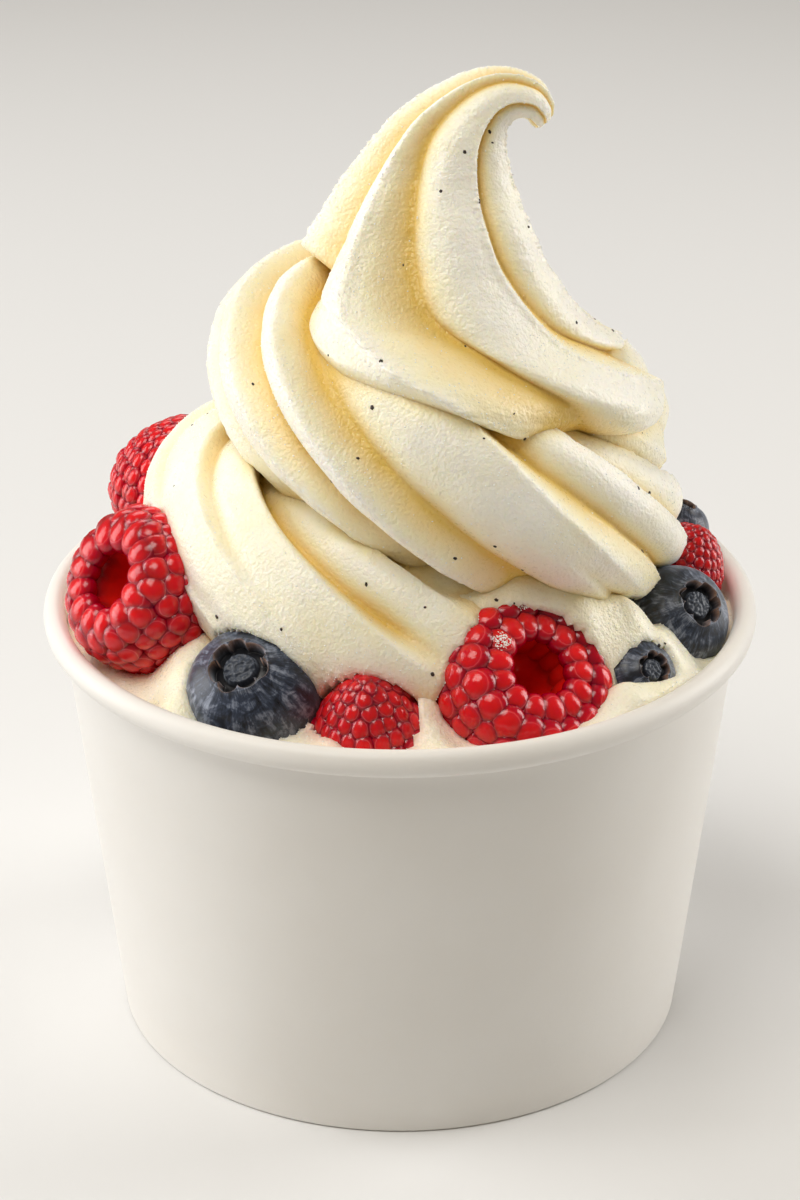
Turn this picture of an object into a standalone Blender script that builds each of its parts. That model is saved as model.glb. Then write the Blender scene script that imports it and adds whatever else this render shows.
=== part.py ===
"""Frozen yogurt in a paper cup, ringed with raspberries and blueberries.

Units are metres, +Z is up. The origin is the centre of the cup's foot, on the
surface the cup stands on. The cup is a conical paper wall with a rolled rim, its
lower edge folded inwards to carry a recessed base disc. The yogurt is one solid:
a levelled fill with a ribbed ribbon wound on it in narrowing turns, drawn up into
a column and curled over at the tip. The berries are sunk in it around the ribbon.
"""
import bpy
import bmesh
import numpy as np
from math import cos, pi, radians, sin, sqrt, tau
from mathutils import Vector

MM = 0.001

# Paper cup, in millimetres
FOOT_RADIUS = 39.0
NECK_RADIUS = 45.5
RIM_RADIUS = 48.0
CUP_HEIGHT = 61.3
WALL = 0.5
ROLL_WIDTH = 3.0
ROLL_HEIGHT = 3.6
FOLD_HEIGHT = 6.0
FOLD_THICKNESS = 1.4
BASE_THICKNESS = 0.6
CUP_STEPS = 48
ROLL_STEPS = 8

# Faceted solids that touch keep this much air between them
GAP = 0.3

# Levelled yogurt under the ribbon
FILL_EDGE_Z = 57.6
FILL_SHOULDER_Z = 60.2
FILL_TOP_Z = 62.0
FILL_SHOULDER_RADIUS = 36.0
FILL_TOP_RADIUS = 27.0

# Piped ribbon. One row for each station along it:
# turns wound, axis x, axis y, winding radius, height, half thickness
RIBBON = (
    (-0.50, -2.5, 0.0, 24.5, 58.5, 12.6),
    (0.00, 0.5, 0.0, 23.0, 66.0, 11.8),
    (0.50, 5.2, 0.4, 22.4, 79.0, 10.8),
    (0.86, 8.6, 0.0, 20.8, 84.8, 13.0),
    (1.00, 9.2, 0.0, 20.4, 87.2, 14.0),
    (1.14, 9.4, 0.0, 19.8, 89.2, 14.2),
    (1.40, 9.6, 0.0, 18.0, 89.0, 11.6),
    (1.60, 9.0, -0.8, 11.5, 90.5, 8.5),
    (1.80, 7.0, 0.0, 3.0, 94.0, 5.0),
)
# The whole winding leans: it drops this much for each millimetre to +X and +Y
LEAN_X = 0.36
LEAN_Y = 0.14
# Roll of the ribbed section, in degrees, on top of what the winding gives it
ROLL_TURNS = (-0.5, 0.0, 0.5, 1.0, 1.4, 1.8)
ROLL_ANGLES = (-28.0, 2.0, 39.0, 114.0, 175.0, 172.0)
LOBES = 8
GROOVE_DEPTH = 0.26
LOBE_POWER = 2.4
# This groove is pressed flat along this stretch, so two lobes run together
FLAT_GROOVE = 5
FLAT_FROM = 0.42
FLAT_TO = 1.2

# Last of the ribbon, drawn up into a bell and curled over. One row for each level:
# centre x, y, z, radius, tilt towards +X, then the angles of three grooves
BELL = (
    (13.5, -3.0, 90.6, 14.0, 22.0, -200.0, -44.0, 40.0),
    (12.9, -4.0, 93.4, 19.8, 22.0, -200.0, -46.0, 38.0),
    (12.2, -4.6, 96.2, 23.4, 22.0, -198.0, -50.0, 33.0),
    (11.3, -4.8, 99.2, 24.2, 21.5, -194.0, -56.0, 26.0),
    (9.4, -4.4, 102.4, 22.0, 19.0, -178.0, -78.0, 2.0),
    (6.3, -3.0, 106.0, 18.9, 16.5, -163.0, -99.0, -23.0),
    (5.1, -1.6, 111.7, 15.0, 14.5, -158.0, -107.0, -41.0),
    (5.3, -0.8, 116.8, 12.4, 14.5, -156.0, -112.0, -50.0),
    (5.7, 0.0, 121.0, 9.9, 15.0, -154.0, -117.0, -53.0),
    (7.0, 0.0, 125.6, 7.4, 21.0, -153.0, -122.0, -55.0),
    (10.2, 0.0, 129.0, 5.0, 40.0, -158.0, -130.0, -63.0),
    (13.6, 0.0, 130.2, 3.6, 72.0, -165.0, -140.0, -75.0),
    (16.6, 0.0, 129.5, 2.8, 105.0, -170.0, -145.0, -85.0),
    (18.0, 0.0, 127.8, 2.2, 128.0, -175.0, -150.0, -90.0),
    (18.3, 0.0, 126.7, 1.5, 140.0, -175.0, -150.0, -90.0),
)
BELL_RINGS = 90
BELL_LOBES = 6
BELL_DEPTH = 0.2

RIBBON_SEGMENTS = 64
RIBBON_RINGS = 180
YOGURT_VOXEL = 0.8
YOGURT_TRIANGLES = 2460

# Raspberries: centre x, y, z, radius, length, and where the hollow end points
RASPBERRIES = (
    (-32.7, -12.5, 67.0, 10.3, 18.5, (-0.74, -0.45, 0.50)),
    (-30.5, 16.5, 70.0, 8.8, 19.0, (-0.35, -0.10, -0.93)),
    (-3.9, -34.6, 57.2, 7.4, 15.5, (0.05, 0.25, -0.97)),
    (15.0, -27.2, 60.8, 10.7, 19.5, (0.42, -0.56, 0.71)),
    (38.2, 3.9, 62.3, 5.7, 13.0, (-0.45, 0.10, -0.88)),
    (17.6, 29.2, 62.0, 9.2, 18.0, (0.05, 0.20, 0.97)),
    (-13.6, 31.6, 61.4, 8.6, 17.5, (0.10, -0.35, -0.93)),
)
# Blueberries: centre x, y, z, radius, and where the crown points
BLUEBERRIES = (
    (-18.9, -30.2, 60.5, 8.2, (-0.23, -0.53, 0.81)),
    (36.7, -8.6, 60.6, 6.8, (0.50, -0.56, 0.66)),
    (31.2, -23.0, 58.9, 4.8, (0.38, -0.60, 0.70)),
    (38.4, 14.9, 63.4, 4.5, (0.20, 0.05, 0.98)),
    (2.6, 37.0, 60.3, 6.9, (-0.30, 0.50, 0.81)),
)
BERRY_SEGMENTS = 16
SOCKET_SEGMENTS = 10
DRUPELET_RELIEF = 0.07
HOLLOW_RADIUS = 0.42
HOLLOW_DEPTH = 0.62
BALL_FLATNESS = 0.92
CROWN_RADIUS = 0.36
CROWN_DEPTH = 0.16


# ---------------------------------------------------------------- scene, materials

for old in list(bpy.data.objects):
    bpy.data.objects.remove(old)


def new_collection(name):
    collection = bpy.data.collections.new(name)
    bpy.context.scene.collection.children.link(collection)
    return collection


PARTS = new_collection("frozen_yogurt_cup")
CUTTERS = new_collection("cutters")


def principled(name, color, roughness):
    material = bpy.data.materials.new(name)
    material.use_nodes = True
    shader = material.node_tree.nodes["Principled BSDF"]
    shader.inputs["Base Color"].default_value = (*color, 1.0)
    shader.inputs["Roughness"].default_value = roughness
    shader.inputs["Metallic"].default_value = 0.0
    return material


PAPER = principled("cup_paper", (0.83, 0.81, 0.77), 0.55)
YOGURT = principled("vanilla_yogurt", (0.90, 0.85, 0.66), 0.45)
RASPBERRY = principled("raspberry", (0.60, 0.02, 0.04), 0.30)
BLUEBERRY = principled("blueberry", (0.05, 0.07, 0.13), 0.50)


def add_object(name, mesh, collection, material=None):
    obj = bpy.data.objects.new(name, mesh)
    collection.objects.link(obj)
    if material:
        mesh.materials.append(material)
    return obj


# ---------------------------------------------------------------- shapes

def turned(name, outline, collection, material):
    """Turn a closed outline of (radius, height) points about the Z axis."""
    mesh = bpy.data.meshes.new(name)
    shape = bmesh.new()
    points = [shape.verts.new((r * MM, 0.0, z * MM)) for r, z in outline]
    for start, end in zip(points, points[1:]):
        shape.edges.new((start, end))
    if outline[0][0] > 0.0:
        shape.edges.new((points[-1], points[0]))
    shape.to_mesh(mesh)
    shape.free()
    obj = add_object(name, mesh, collection, material)
    screw = obj.modifiers.new("turn", "SCREW")
    screw.steps = CUP_STEPS
    screw.render_steps = CUP_STEPS
    screw.use_merge_vertices = True
    screw.merge_threshold = 0.00001
    screw.use_smooth_shade = True
    return obj


def lofted(name, rings, collection, material=None):
    """Skin a run of closed rings. A ring of one point closes that end."""
    shape = bmesh.new()
    loops = [[shape.verts.new(Vector(point) * MM) for point in ring] for ring in rings]
    for lower, upper in zip(loops, loops[1:]):
        count = max(len(lower), len(upper))
        for k in range(count):
            after = (k + 1) % count
            if len(lower) == 1:
                shape.faces.new((lower[0], upper[k], upper[after]))
            elif len(upper) == 1:
                shape.faces.new((lower[k], upper[0], lower[after]))
            else:
                shape.faces.new((lower[k], upper[k], upper[after], lower[after]))
    for end in (loops[0], loops[-1]):
        if len(end) > 1:
            shape.faces.new(end)
    bmesh.ops.recalc_face_normals(shape, faces=shape.faces)
    mesh = bpy.data.meshes.new(name)
    shape.to_mesh(mesh)
    shape.free()
    mesh.shade_smooth()
    return add_object(name, mesh, collection, material)


def baked(obj, name, collection, material=None):
    """Turn an object with live modifiers into a plain mesh object."""
    bpy.context.view_layer.update()
    graph = bpy.context.evaluated_depsgraph_get()
    mesh = bpy.data.meshes.new_from_object(obj.evaluated_get(graph))
    bpy.data.objects.remove(obj)
    mesh.materials.clear()
    return add_object(name, mesh, collection, material)


def eased(x, stations, values):
    """Read a smooth curve through (station, value) pairs."""
    gaps = np.diff(stations)
    slopes = np.diff(values) / gaps
    tangents = np.empty(len(values))
    tangents[1:-1] = (slopes[:-1] * gaps[1:] + slopes[1:] * gaps[:-1]) / (gaps[:-1] + gaps[1:])
    tangents[0], tangents[-1] = slopes[0], slopes[-1]
    i = min(max(int(np.searchsorted(stations, x, side="right")) - 1, 0), len(gaps) - 1)
    t = (x - stations[i]) / gaps[i]
    return (
        (2 * t**3 - 3 * t**2 + 1) * values[i]
        + (t**3 - 2 * t**2 + t) * gaps[i] * tangents[i]
        + (3 * t**2 - 2 * t**3) * values[i + 1]
        + (t**3 - t**2) * gaps[i] * tangents[i + 1]
    )


# ---------------------------------------------------------------- paper cup

def wall_radius(z):
    """Outer radius of the conical wall at a height."""
    slope = (NECK_RADIUS - FOOT_RADIUS) / (CUP_HEIGHT - ROLL_HEIGHT)
    return FOOT_RADIUS + slope * z


def make_cup_wall():
    roll_radius = RIM_RADIUS - ROLL_WIDTH / 2
    roll_height = CUP_HEIGHT - ROLL_HEIGHT / 2
    outline = []
    for k in range(ROLL_STEPS + 1):
        angle = pi - k * (1.45 * pi) / ROLL_STEPS
        r = roll_radius + ROLL_WIDTH / 2 * cos(angle)
        outline.append((r, roll_height + ROLL_HEIGHT / 2 * sin(angle)))
    neck = CUP_HEIGHT - ROLL_HEIGHT
    outline.append((wall_radius(neck), neck))
    outline.append((wall_radius(0.0), 0.0))
    outline.append((wall_radius(0.0) - FOLD_THICKNESS, 0.0))
    outline.append((wall_radius(FOLD_HEIGHT) - FOLD_THICKNESS, FOLD_HEIGHT))
    outline.append((wall_radius(FOLD_HEIGHT) - WALL, FOLD_HEIGHT))
    return turned("cup_wall", outline, PARTS, PAPER)


def make_cup_base():
    low = FOLD_HEIGHT + GAP
    high = low + BASE_THICKNESS
    outline = (
        (0.0, high),
        (wall_radius(high) - WALL - GAP, high),
        (wall_radius(low) - WALL - GAP, low),
        (0.0, low),
    )
    return turned("cup_base", outline, PARTS, PAPER)


# ---------------------------------------------------------------- yogurt

def ribbon_path(turn):
    """Centre of the ribbon and its half thickness after this many turns."""
    stations = [row[0] for row in RIBBON]
    axis_x, axis_y, winding, height, thickness = (
        eased(turn, stations, [row[column] for row in RIBBON]) for column in range(1, 6)
    )
    across = winding * cos(pi - tau * turn)
    along = winding * sin(pi - tau * turn)
    z = height - LEAN_X * across - LEAN_Y * along
    return Vector((axis_x + across, axis_y + along, z)), thickness


def lobe_shape(angle, turn):
    """Radius of the ribbed section as a share of its half thickness."""
    pitch = tau / LOBES
    groove = int((angle % tau) // pitch)
    t = ((angle % tau) / pitch - groove) * 2.0 - 1.0
    nearest = groove if t < 0.0 else (groove + 1) % LOBES
    depth = GROOVE_DEPTH
    if nearest == FLAT_GROOVE and FLAT_FROM < turn < FLAT_TO:
        depth *= 0.5 + 0.5 * cos(tau * (turn - FLAT_FROM) / (FLAT_TO - FLAT_FROM))
    return 1.0 - depth * abs(t) ** LOBE_POWER


def make_ribbon():
    turns = np.linspace(RIBBON[0][0], RIBBON[-1][0], RIBBON_RINGS)
    stations = [ribbon_path(turn) for turn in turns]
    rings = []
    for i, turn in enumerate(turns):
        centre, thickness = stations[i]
        ahead = stations[min(i + 1, len(stations) - 1)][0]
        behind = stations[max(i - 1, 0)][0]
        # The nozzle's section is carried from upright to the ribbon's direction
        carried = Vector((0, 0, 1)).rotation_difference(ahead - behind)
        roll = radians(eased(turn, ROLL_TURNS, ROLL_ANGLES))
        ring = []
        for k in range(RIBBON_SEGMENTS):
            angle = tau * k / RIBBON_SEGMENTS
            radius = thickness * lobe_shape(angle, turn)
            spoke = Vector((cos(angle + roll), sin(angle + roll), 0.0))
            ring.append(centre + carried @ spoke * radius)
        rings.append(ring)
    return lofted("ribbon", rings, CUTTERS)


def bell_lobe(angle, grooves):
    """Radius of the bell's section: full lobes between uneven grooves."""
    along = (angle - grooves[0]) % tau + grooves[0]
    for start, end in zip(grooves, grooves[1:]):
        if start <= along <= end:
            t = (along - start) / (end - start) * 2.0 - 1.0
            return 1.0 - BELL_DEPTH * abs(t) ** LOBE_POWER
    return 1.0


def make_bell():
    levels = list(range(len(BELL)))
    rings = []
    for level in np.linspace(0, levels[-1], BELL_RINGS):
        row = [eased(level, levels, [entry[column] for entry in BELL]) for column in range(8)]
        x, y, z, radius, tilt = row[:5]
        first, second, third = (radians(angle) for angle in row[5:])
        rest = BELL_LOBES - 2
        step = (first + tau - third) / rest
        grooves = [first, second] + [third + step * k for k in range(rest + 1)]
        across = Vector((cos(radians(tilt)), 0.0, -sin(radians(tilt))))
        along = Vector((0.0, 1.0, 0.0))
        centre = Vector((x, y, z))
        ring = []
        for k in range(RIBBON_SEGMENTS):
            angle = tau * k / RIBBON_SEGMENTS
            reach = radius * bell_lobe(angle, grooves)
            ring.append(centre + (across * cos(angle) + along * sin(angle)) * reach)
        rings.append(ring)
    return lofted("bell", rings, CUTTERS)


def make_fill():
    bottom = FOLD_HEIGHT + BASE_THICKNESS + 2 * GAP
    outline = (
        (0.0, FILL_TOP_Z),
        (FILL_TOP_RADIUS, FILL_TOP_Z),
        (FILL_SHOULDER_RADIUS, FILL_SHOULDER_Z),
        (wall_radius(FILL_EDGE_Z) - WALL - GAP, FILL_EDGE_Z),
        (wall_radius(bottom) - WALL - GAP, bottom),
        (0.0, bottom),
    )
    return turned("fill", outline, CUTTERS, None)


def make_core():
    """Yogurt inside the winding, so the swirl holds no pocket of air."""
    rings = []
    for z, x, radius in ((50, 2, 22), (62, 2, 22), (76, 4, 17), (92, 8, 13)):
        angles = [tau * k / 24 for k in range(24)]
        rings.append([(x + radius * cos(a), radius * sin(a), z) for a in angles])
    return lofted("core", rings, CUTTERS)


def joined(pieces, name):
    """Gather meshes into one object; the voxel remesh then fuses them."""
    shape = bmesh.new()
    for piece in pieces:
        shape.from_mesh(piece.data)
        bpy.data.objects.remove(piece)
    mesh = bpy.data.meshes.new(name)
    shape.to_mesh(mesh)
    shape.free()
    return add_object(name, mesh, CUTTERS)


def keep_largest_body(mesh):
    """Drop crumbs that the berries' sockets cut loose."""
    shape = bmesh.new()
    shape.from_mesh(mesh)
    unseen = set(shape.verts)
    bodies = []
    while unseen:
        front = [unseen.pop()]
        body = set(front)
        while front:
            vert = front.pop()
            for edge in vert.link_edges:
                other = edge.other_vert(vert)
                if other in unseen:
                    unseen.remove(other)
                    body.add(other)
                    front.append(other)
        bodies.append(body)
    bodies.sort(key=len)
    loose = [vert for body in bodies[:-1] for vert in body]
    bmesh.ops.delete(shape, geom=loose, context="VERTS")
    shape.to_mesh(mesh)
    shape.free()


def make_yogurt(sockets):
    fill = baked(make_fill(), "fill", CUTTERS)
    mass = joined([fill, make_ribbon(), make_bell(), make_core()], "mass")
    remesh = mass.modifiers.new("fuse", "REMESH")
    remesh.mode = "VOXEL"
    remesh.voxel_size = YOGURT_VOXEL * MM
    mass = baked(mass, "mass", CUTTERS)
    # The remesh rounds the fill outwards, so its flank is set back to the wall's gap
    for vert in mass.data.vertices:
        limit = (wall_radius(vert.co.z / MM) - WALL - GAP) * MM
        reach = sqrt(vert.co.x**2 + vert.co.y**2)
        if vert.co.z < FILL_EDGE_Z * MM and reach > limit:
            vert.co.x *= limit / reach
            vert.co.y *= limit / reach
    triangles = sum(len(face.vertices) - 2 for face in mass.data.polygons)
    thin = mass.modifiers.new("thin", "DECIMATE")
    thin.ratio = YOGURT_TRIANGLES / triangles
    mass = baked(mass, "mass", CUTTERS)
    for k, socket in enumerate(sockets):
        cut = mass.modifiers.new("socket_%d" % k, "BOOLEAN")
        cut.operation = "DIFFERENCE"
        cut.object = socket
    yogurt = baked(mass, "yogurt", PARTS, YOGURT)
    keep_largest_body(yogurt.data)
    yogurt.data.shade_smooth()
    return yogurt


# ---------------------------------------------------------------- berries

def placed(rings, centre, axis):
    """Turn rings built along +Z to an axis and move them to a centre."""
    turn = Vector(axis).to_track_quat("Z", "Y")
    return [[turn @ Vector(point) + Vector(centre) for point in ring] for ring in rings]


def ring_at(radius, z, relief=0.0, shift=0.0, segments=BERRY_SEGMENTS):
    """A ring whose points alternate between a drupelet's top and its seam."""
    if radius <= 0.0:
        return [(0.0, 0.0, z)]
    points = []
    for k in range(segments):
        angle = tau * (k + shift) / segments
        r = radius * (1.0 + (relief if k % 2 else -relief))
        points.append((r * cos(angle), r * sin(angle), z))
    return points


def raspberry_flank(radius, length, rows):
    """Radius and height of each row, from a blunt tip to the widest end."""
    flank = []
    for row in range(1, rows + 1):
        t = row / rows
        r = radius * sin(pi * (0.12 + 0.88 * t) / 1.55) ** 0.8
        flank.append((r, -length / 2 + length * (0.5 - 0.5 * cos(pi * t * 0.88))))
    return flank


def raspberry_rings(radius, length, relief):
    """A blunt cone of drupelets from its tip up to the hollow end at +Z."""
    rows = 9
    rings = [ring_at(0.0, -length / 2)]
    for row, (r, z) in enumerate(raspberry_flank(radius, length, rows), 1):
        rings.append(ring_at(r, z, relief, shift=row % 2))
    top = length / 2
    rings.append(ring_at(radius * 0.68, top, relief, shift=rows % 2))
    rings.append(ring_at(radius * HOLLOW_RADIUS, top - 0.08 * length, relief))
    rings.append(ring_at(radius * HOLLOW_RADIUS * 0.8, top - HOLLOW_DEPTH * 0.6 * length))
    rings.append(ring_at(0.0, top - HOLLOW_DEPTH * length))
    return rings


def blueberry_flank(radius, rows):
    """Radius and height of each row of a slightly flattened ball."""
    flank = []
    for row in range(1, rows + 1):
        t = (pi - radians(22)) * row / rows
        flank.append((radius * sin(t), -radius * BALL_FLATNESS * cos(t)))
    return flank


def blueberry_rings(radius):
    """The ball with the cup of its crown sunk in at +Z."""
    lip = radius * BALL_FLATNESS
    rings = [ring_at(0.0, -lip)]
    for r, z in blueberry_flank(radius, 7):
        rings.append(ring_at(r, z))
    rings.append(ring_at(radius * CROWN_RADIUS * 0.75, lip * 0.97))
    rings.append(ring_at(radius * CROWN_RADIUS * 0.62, lip - CROWN_DEPTH * radius))
    rings.append(ring_at(0.0, lip - CROWN_DEPTH * radius))
    return rings


def socket_rings(flank, top):
    """Plain room for a berry in the yogurt, just clear of it all round."""
    clear = 1.0 / cos(pi / SOCKET_SEGMENTS)
    rings = [ring_at(0.0, -top)]
    for r, z in flank:
        rings.append(ring_at(r * clear, z, segments=SOCKET_SEGMENTS))
    rings.append(ring_at(0.0, top))
    return rings


def make_raspberry(number, x, y, z, radius, length, axis):
    name = "raspberry_%d" % number
    body = raspberry_rings(radius, length, DRUPELET_RELIEF)
    lofted(name, placed(body, (x, y, z), axis), PARTS, RASPBERRY)
    reach = radius * (1.0 + DRUPELET_RELIEF) + 1.8 * GAP
    room = socket_rings(raspberry_flank(reach, length + 3 * GAP, 7), length / 2 + 1.5 * GAP)
    return lofted("socket_" + name, placed(room, (x, y, z), axis), CUTTERS)


def make_blueberry(number, x, y, z, radius, axis):
    name = "blueberry_%d" % number
    body = blueberry_rings(radius)
    lofted(name, placed(body, (x, y, z), axis), PARTS, BLUEBERRY)
    reach = radius + GAP
    room = socket_rings(blueberry_flank(reach, 6), reach * BALL_FLATNESS)
    return lofted("socket_" + name, placed(room, (x, y, z), axis), CUTTERS)


# ---------------------------------------------------------------- assembly

make_cup_wall()
make_cup_base()
all_sockets = [make_raspberry(k + 1, *row) for k, row in enumerate(RASPBERRIES)]
all_sockets += [make_blueberry(k + 1, *row) for k, row in enumerate(BLUEBERRIES)]
make_yogurt(all_sockets)
for cutter in CUTTERS.objects:
    cutter.hide_render = True
    cutter.display_type = "WIRE"
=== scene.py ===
import bpy
import bmesh
import numpy as np
from math import atan2, cos, exp, hypot, pi, radians, sin, sqrt, tau
from mathutils import Matrix, Vector, noise
from mathutils.bvhtree import BVHTree


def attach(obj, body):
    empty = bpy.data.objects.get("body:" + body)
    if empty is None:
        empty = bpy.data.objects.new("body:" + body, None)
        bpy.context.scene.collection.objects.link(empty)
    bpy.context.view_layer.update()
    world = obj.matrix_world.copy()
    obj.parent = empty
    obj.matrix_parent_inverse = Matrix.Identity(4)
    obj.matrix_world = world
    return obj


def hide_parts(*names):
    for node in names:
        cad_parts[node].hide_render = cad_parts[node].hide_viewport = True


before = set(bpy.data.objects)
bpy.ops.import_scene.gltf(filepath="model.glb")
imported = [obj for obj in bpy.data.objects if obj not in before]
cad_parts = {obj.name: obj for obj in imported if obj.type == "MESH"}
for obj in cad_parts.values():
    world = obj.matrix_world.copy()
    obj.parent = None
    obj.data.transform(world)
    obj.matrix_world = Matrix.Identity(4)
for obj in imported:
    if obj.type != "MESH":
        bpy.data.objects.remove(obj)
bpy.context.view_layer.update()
MM = 0.001


# ================================================================ the studio
# The cup stands on a plain pale table under soft light: a large window on the left,
# a lamp high overhead, a weaker one on the right and one behind to edge the yogurt.

scene = bpy.context.scene
scene.view_settings.view_transform = "Standard"


def set_sockets(tree, node, values):
    """Join each socket of a node to an output, or give it a plain value."""
    for socket, value in values.items():
        if isinstance(value, bpy.types.NodeSocket):
            tree.links.new(value, node.inputs[socket])
        else:
            node.inputs[socket].default_value = value


def new_finish(name):
    """A new material, its node tree and its shader."""
    finish = bpy.data.materials.new(name)
    finish.use_nodes = True
    return finish, finish.node_tree, finish.node_tree.nodes["Principled BSDF"]


bpy.ops.object.select_all(action="DESELECT")
bpy.ops.mesh.primitive_plane_add(size=3.0, location=(0.0, 0.0, 0.0))
table = bpy.context.object
table.name = "table"
table_paint, tree, paint = new_finish("table_paint")
set_sockets(tree, paint, {"Base Color": (0.74, 0.74, 0.74, 1.0), "Roughness": 0.7})
table.data.materials.append(table_paint)

world = bpy.data.worlds.new("studio")
world.use_nodes = True
room = world.node_tree.nodes["Background"]
set_sockets(world.node_tree, room, {"Color": (1.0, 0.86, 0.66, 1.0), "Strength": 0.18})
scene.world = world


def softbox(name, place, aim, size, power, tint=(1.0, 1.0, 1.0)):
    lamp = bpy.data.lights.new(name, "AREA")
    lamp.shape = "RECTANGLE"
    lamp.size, lamp.size_y = size
    lamp.energy = power
    lamp.color = tint
    holder = bpy.data.objects.new(name, lamp)
    scene.collection.objects.link(holder)
    holder.location = place
    holder.rotation_euler = (Vector(aim) - Vector(place)).to_track_quat("-Z", "Y").to_euler()


softbox("window_left", (-0.64, 0.08, 0.26), (0.0, 0.0, 0.08), (0.4, 0.6), 3.3)
softbox("overhead", (-0.20, -0.26, 0.78), (0.0, 0.0, 0.08), (0.45, 0.45), 3.9, (1.0, 0.97, 0.91))
softbox("fill_right", (0.60, 0.18, 0.26), (0.0, 0.0, 0.06), (0.3, 0.5), 2.7, (1.0, 0.985, 0.96))
softbox("top_back", (-0.12, 0.50, 0.50), (0.0, 0.0, 0.09), (0.4, 0.3), 1.0)

camera = bpy.data.cameras.new("camera")
camera.lens = 98.94
camera.sensor_width = 36.0
camera.clip_start = 0.01
camera_stand = bpy.data.objects.new("camera", camera)
scene.collection.objects.link(camera_stand)
CAMERA_AIM = Vector((0.0, 0.0, 0.0595))
CAMERA_HEIGHT = radians(25.57)
CAMERA_REACH = 0.4463
camera_stand.location = CAMERA_AIM + CAMERA_REACH * Vector((0.0, -cos(CAMERA_HEIGHT), sin(CAMERA_HEIGHT)))
camera_stand.rotation_euler = (pi / 2 - CAMERA_HEIGHT, 0.0, 0.0)
scene.camera = camera_stand


# ================================================================ paper cup
# A cone of white coated board. Its upper edge is rolled outwards into a rim, its
# lower edge is folded in round a recessed disc, and one lapped seam runs up the back.

CUP_STEPS = 224
FOOT_RADIUS = 39.0
NECK_RADIUS = 45.5
RIM_RADIUS = 48.0
CUP_HEIGHT = 61.3
WALL = 0.5
ROLL_WIDTH = 3.0
ROLL_HEIGHT = 3.6
FOLD_HEIGHT = 6.0
FOLD_THICKNESS = 1.4
NECK_HEIGHT = CUP_HEIGHT - ROLL_HEIGHT
# The rim is rolled from under its outer edge, over the top and down to the wall
ROLL_START = -80.0
ROLL_SWEEP = 265.0
ROLL_STEPS = 22
SEAM_ANGLE = radians(78.0)
LAP_HALF_WIDTH = 4.0
LAP_PROUD = 0.28
LAP_ON_RIM = 0.10


def wall_radius(z):
    return FOOT_RADIUS + (NECK_RADIUS - FOOT_RADIUS) * z / NECK_HEIGHT


def drawn_shell(name, outline, steps):
    """Draw a circle of edges round a closed outline of (radius, height) points."""
    bpy.ops.object.select_all(action="DESELECT")
    radius, height = outline[0]
    bpy.ops.mesh.primitive_circle_add(vertices=steps, radius=radius * MM, location=(0.0, 0.0, height * MM))
    bpy.ops.object.transform_apply(location=True, rotation=True, scale=True)
    shell = bpy.context.object
    shell.name = name
    shell.data.name = name
    bpy.ops.object.mode_set(mode="EDIT")
    bpy.ops.mesh.select_all(action="SELECT")
    for (r0, z0), (r1, z1) in zip(outline, outline[1:]):
        bpy.ops.mesh.extrude_region_move(TRANSFORM_OT_translate={"value": (0.0, 0.0, (z1 - z0) * MM)})
        bpy.ops.transform.resize(value=(r1 / r0, r1 / r0, 1.0), center_override=(0.0, 0.0, z1 * MM))
    bpy.ops.mesh.select_all(action="SELECT")
    bpy.ops.mesh.region_to_loop()
    bpy.ops.mesh.bridge_edge_loops()
    bpy.ops.mesh.select_all(action="SELECT")
    bpy.ops.mesh.normals_make_consistent(inside=False)
    bpy.ops.object.mode_set(mode="OBJECT")
    bpy.ops.object.shade_smooth_by_angle(angle=radians(35))
    return shell


# The outline runs from the fold's top, down and round the foot, up the outside, over
# the rolled rim and down the inside
roll_radius = RIM_RADIUS - ROLL_WIDTH / 2
roll_height = CUP_HEIGHT - ROLL_HEIGHT / 2
wall_outline = [(wall_radius(z) - FOLD_THICKNESS, z) for z in (FOLD_HEIGHT, 0.3)]
wall_outline += [(wall_radius(0.0) - FOLD_THICKNESS + 0.25, 0.0), (wall_radius(0.0) - 0.3, 0.0)]
wall_outline += [(wall_radius(z), z) for z in (0.3, 1.2, 15.0, 30.0, 45.0, NECK_HEIGHT - 1.0)]
wall_outline.append((wall_radius(NECK_HEIGHT) + 0.05, NECK_HEIGHT + 0.1))
for k in range(ROLL_STEPS + 1):
    angle = radians(ROLL_START + ROLL_SWEEP * k / ROLL_STEPS)
    out, up = ROLL_WIDTH / 2 * cos(angle), ROLL_HEIGHT / 2 * sin(angle)
    wall_outline.append((roll_radius + out, roll_height + up))
wall_outline += [(wall_radius(z) - WALL, z) for z in (58.0, 50.0, 30.0, FOLD_HEIGHT + 0.4)]
cup = drawn_shell("paper_cup", wall_outline, CUP_STEPS)

# The lap of the side seam stands a paper's thickness proud at the back, and the rim
# is a little uneven and lower where it is rolled over the lap
for vert in cup.data.vertices:
    x, y, z = vert.co / MM
    r = hypot(x, y)
    turn = (atan2(y, x) - SEAM_ANGLE + pi) % tau - pi
    lap = 1.0 / (1.0 + exp(-(turn * r + LAP_HALF_WIDTH) * 4.0))
    lap /= 1.0 + exp((turn * r - LAP_HALF_WIDTH) * 2.0)
    on_roll = z > NECK_HEIGHT + 0.3 and r > NECK_RADIUS
    if r > wall_radius(z) - 0.2 and 1.5 < z < NECK_HEIGHT and not on_roll:
        vert.co *= 1.0 + LAP_PROUD * lap / r
        vert.co.z = z * MM
    if on_roll:
        wave = 0.05 * sin(3 * turn + 1.0) + 0.03 * sin(7 * turn)
        vert.co.z -= (LAP_ON_RIM * lap + wave * 0.5 + 0.04) * MM * (1.0 if z > roll_height else 0.3)
cup.data.update()


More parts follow.
